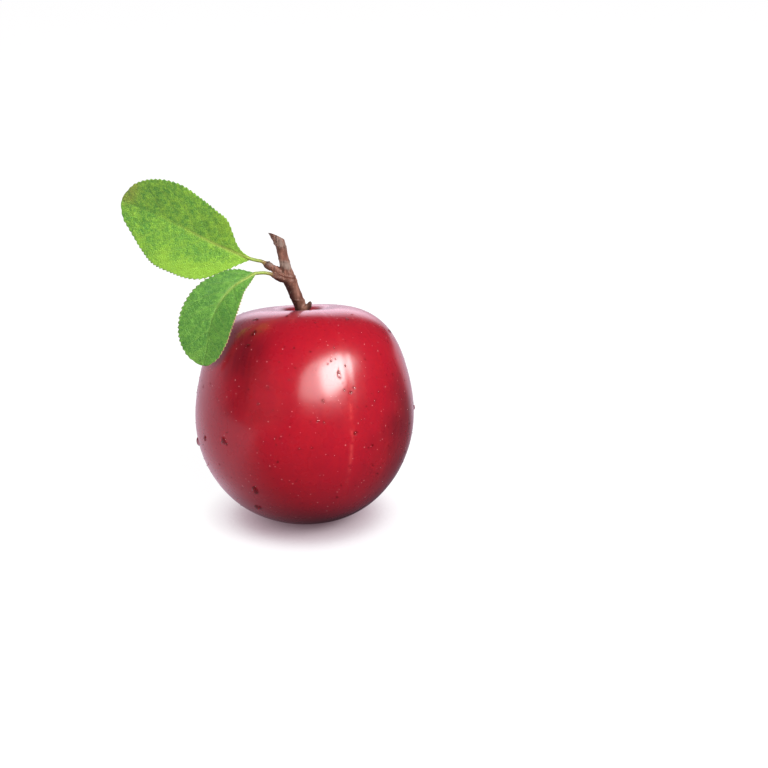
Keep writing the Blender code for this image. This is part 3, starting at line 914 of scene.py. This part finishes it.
# --- Floor, lights and camera ----------------------------------------------------------------
def floor_finish():
    """White with a soft shade under the plum where the camera sees it. What the plum itself is
    lit by and mirrors is bright behind it to the left, and dim in front."""
    pale = bpy.data.materials.new("pale_floor")
    pale.use_nodes = True
    tree = pale.node_tree
    tree.nodes.clear()
    open_sky = add_node(tree, "AmbientOcclusion", {"Distance": SHADE_REACH}, "AO")
    shade = add_node(tree, "ValToRGB", {0: open_sky})
    steps = shade.node.color_ramp.elements
    steps.remove(steps[1])
    steps[0].position, steps[0].color = FLOOR_SHADE[0]
    for position, tint in FLOOR_SHADE[1:]:
        steps.new(position).color = tint
    lit = add_node(tree, "BsdfDiffuse", {"Color": (0.16, 0.155, 0.16, 1.0)})
    even = add_node(tree, "Emission", {"Color": shade, "Strength": 0.96})
    shown = add_node(tree, "AddShader", {0: lit, 1: even})

    place = add_node(tree, "NewGeometry", {}, "Position")
    to_back_left = {0: place, 1: (-1.0, 1.0, 0.0)}
    backward = add_node(tree, "VectorMath", to_back_left, "Value", operation="DOT_PRODUCT")
    rise = {0: backward, 1: -0.03, 2: 0.03, 3: 0.09, 4: 0.72}
    bright = add_node(tree, "MapRange", rise, interpolation_type="SMOOTHSTEP")
    strength = add_node(tree, "Math", {0: bright, 1: open_sky}, operation="MULTIPLY")
    mirrored = add_node(tree, "Emission", {"Color": LAVENDER, "Strength": strength})
    seen = add_node(tree, "LightPath", {}, "Is Camera Ray")
    surface = add_node(tree, "MixShader", {0: seen, 1: mirrored, 2: shown})
    out = tree.nodes.new("ShaderNodeOutputMaterial")
    tree.links.new(surface, out.inputs["Surface"])
    return pale


def build_floor():
    """A wide floor at the height that the plum rests on."""
    mesh = bpy.data.meshes.new("floor")
    r = FLOOR_REACH
    mesh.from_pydata([(-r, -r, 0), (r, -r, 0), (r, r, 0), (-r, r, 0)], [], [(0, 1, 2, 3)])
    mesh.materials.append(floor_finish())
    floor = bpy.data.objects.new("floor", mesh)
    bpy.context.scene.collection.objects.link(floor)


def build_surroundings():
    """A white studio: plain white where the camera looks past the floor, and for the light
    that falls on the plum bright behind it and to the left, and dim in front."""
    world = bpy.data.worlds.new("studio")
    bpy.context.scene.world = world
    world.use_nodes = True
    tree = world.node_tree
    tree.nodes.clear()
    way = add_node(tree, "TexCoord", {}, "Generated")
    glow = SKY_DIM
    for direction, start, full, strength in SKY_GLOWS:
        aim = Vector(direction).normalized()
        match = add_node(tree, "VectorMath", {0: way, 1: aim}, "Value", operation="DOT_PRODUCT")
        rise = {0: match, 1: start, 2: full, 3: 0.0, 4: strength}
        lobe = add_node(tree, "MapRange", rise, interpolation_type="SMOOTHSTEP")
        glow = add_node(tree, "Math", {0: lobe, 1: glow}, operation="ADD")
    seen = add_node(tree, "LightPath", {}, "Is Camera Ray")
    strength = add_node(tree, "Mix", {0: seen, 2: glow, 3: 1.1})
    tints = {0: seen, 6: LAVENDER, 7: (1.0, 0.985, 1.0, 1.0)}
    tint = add_node(tree, "Mix", tints, 2, data_type="RGBA")
    sky = add_node(tree, "Background", {"Color": tint, "Strength": strength})
    out = tree.nodes.new("ShaderNodeOutputWorld")
    tree.links.new(sky, out.inputs["Surface"])


def build_light(name, direction, distance, width, height, watts, colour):
    """An oval light that faces the middle of the fruit and isn't seen by the camera."""
    light = bpy.data.lights.new(name, "AREA")
    light.shape, light.size, light.size_y = "ELLIPSE", width, height
    light.energy, light.color = watts, colour
    lamp = bpy.data.objects.new(name, light)
    aim = Vector(direction).normalized()
    lamp.location = Vector(FRUIT_CENTRE * MM) + aim * distance
    lamp.rotation_euler = aim.to_track_quat("Z", "Y").to_euler()
    lamp.visible_camera = False
    lamp.visible_glossy = name != UNMIRRORED_LIGHT
    bpy.context.scene.collection.objects.link(lamp)


def build_camera():
    """A long lens that looks down on the fruit from the front, aimed to its upper right."""
    right = Vector((1, 0, 0))
    up = Vector((0, math.sin(VIEW_ELEVATION), math.cos(VIEW_ELEVATION)))
    back = Vector((0, -math.cos(VIEW_ELEVATION), math.sin(VIEW_ELEVATION)))
    aim = Vector(FRUIT_CENTRE * MM) + right * VIEW_ASIDE[0] + up * VIEW_ASIDE[1]
    data = bpy.data.cameras.new("camera")
    data.lens, data.sensor_width = 90.0, 36.0
    data.clip_start, data.clip_end = 0.01, 50.0
    camera = bpy.data.objects.new("camera", data)
    turn = Matrix((right, up, back)).transposed().to_4x4()
    turn.translation = aim + back * VIEW_DISTANCE
    camera.matrix_world = turn
    bpy.context.scene.collection.objects.link(camera)
    bpy.context.scene.camera = camera


def main():
    """The whole scene: the plum's pieces, then what stands round them."""
    build_fruit()
    build_twig()
    stalk = stalk_finish()
    build_leaf("upper_leaf", UPPER_LEAF, stalk)
    build_leaf("lower_leaf", LOWER_LEAF, stalk)
    build_drops()
    build_floor()
    build_surroundings()
    for name, measures in LIGHTS.items():
        build_light(name, *measures)
    build_camera()
    bpy.context.scene.view_settings.view_transform = "Standard"


main()
